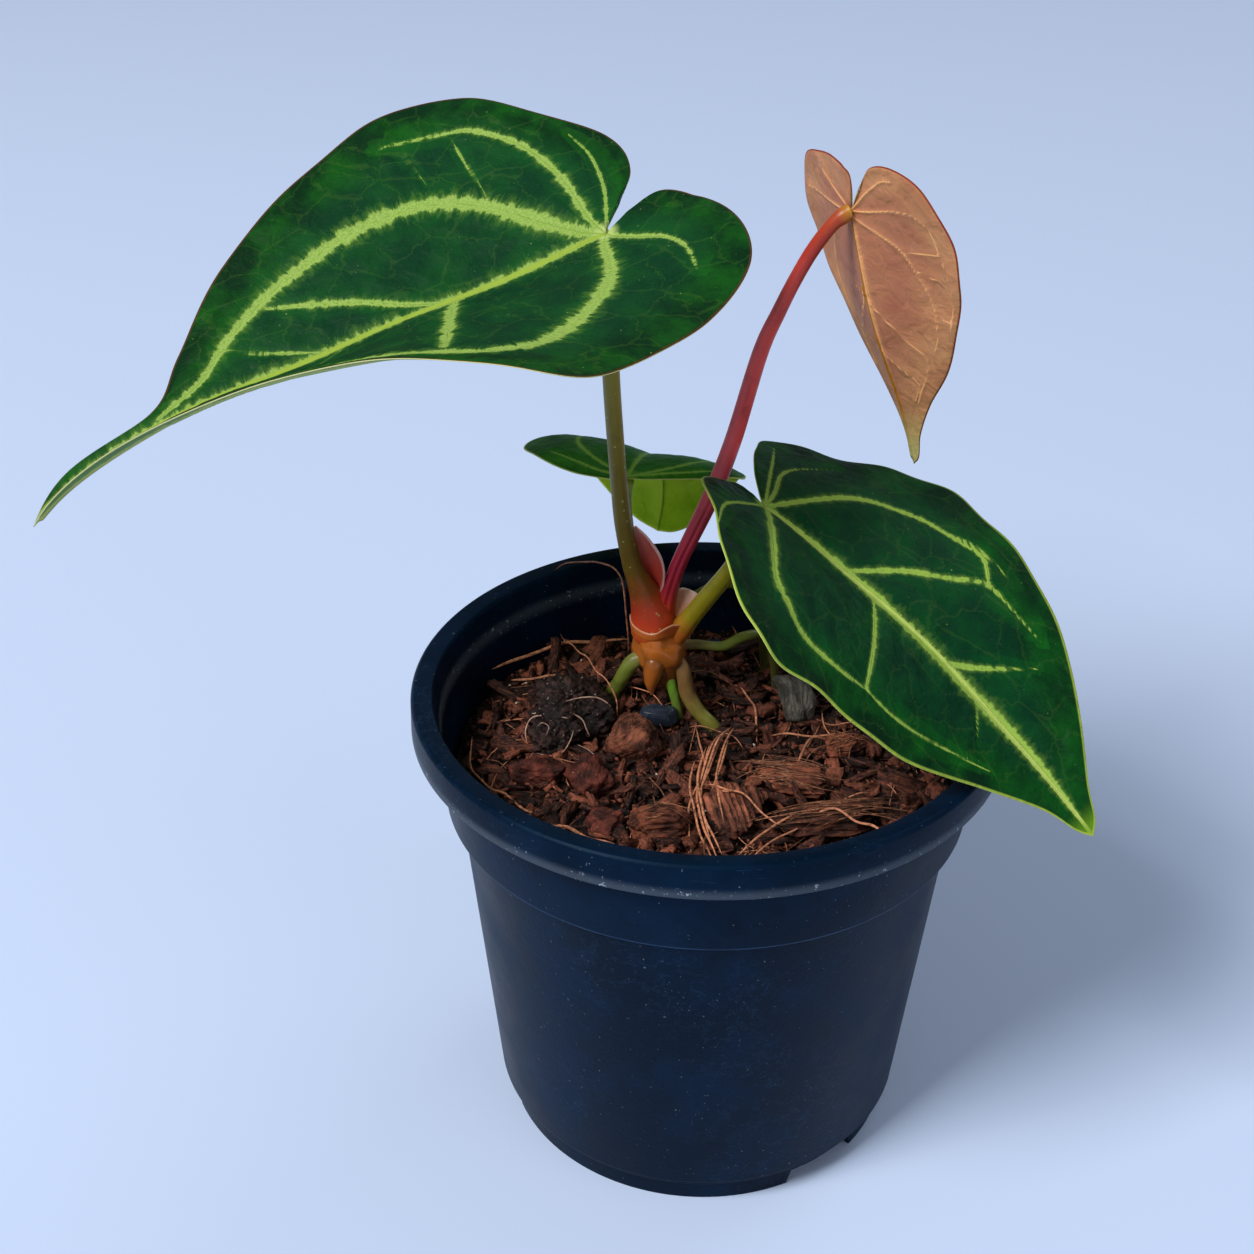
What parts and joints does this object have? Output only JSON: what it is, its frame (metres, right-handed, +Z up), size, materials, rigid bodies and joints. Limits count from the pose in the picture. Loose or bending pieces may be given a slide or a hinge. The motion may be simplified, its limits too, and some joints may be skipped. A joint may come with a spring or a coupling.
{
  "type": "potted aroid house plant",
  "caption": "Young velvet-leaved aroid with heart-shaped blades on slim petioles, growing from a rooted rhizome in coir mix in a round stepped nursery pot.",
  "frame": {"origin": "middle of the pot's base, on the ground, under the pot's axis", "axes": "+Z up along the pot's axis; +X towards the tip of the right blade, -X towards the tip of the large blade; -Y towards the viewer of the picture"},
  "size_m": [0.2662, 0.17, 0.2758],
  "materials": {
    "pot_plastic": "satin, navy-black",
    "coir_mix": "matte, damp red-brown coir",
    "rooted_soil": "matte, dark",
    "husk": "matte, fibrous",
    "striped_chip": "matte, grey with fine ribs",
    "pebble": "satin",
    "leaf_large": "satin, velvety",
    "leaf_young": "satin, thin",
    "leaf_right": "satin, velvety",
    "leaf_small": "satin",
    "petiole_olive": "satin",
    "petiole_coral": "satin",
    "petiole_yellow": "satin",
    "petiole_green": "satin",
    "rhizome": "gloss",
    "root": "satin",
    "sheath_pink": "satin",
    "sheath_papery": "satin, translucent"
  },
  "bodies": {
    "root": {"pot": "pot_plastic", "potting_mix": "coir_mix", "root_ball": "rooted_soil", "husk_chunk_round": "husk", "husk_chunk_split": "husk", "husk_chunk_left": "husk", "husk_chunk_low": "husk", "husk_chunk_fibrous": "husk", "husk_chip_square": "husk", "husk_chip_wedge": "husk", "husk_chip_long": "husk", "husk_chip_light": "husk", "striped_chip": "striped_chip", "pebble_dark": "pebble", "pebble_pale": "pebble", "rhizome": "rhizome", "root_left": "root", "root_centre": "root", "root_right": "root", "root_aerial_low": "root", "root_aerial_high": "root", "sheath_pink": "sheath_pink", "sheath_papery": "sheath_papery", "petiole_large": "petiole_olive", "petiole_young": "petiole_coral", "petiole_right": "petiole_yellow", "petiole_small": "petiole_green", "blade_large": "leaf_large", "blade_young": "leaf_young", "blade_right": "leaf_right", "blade_small": "leaf_small"}
  },
  "joints": []
}
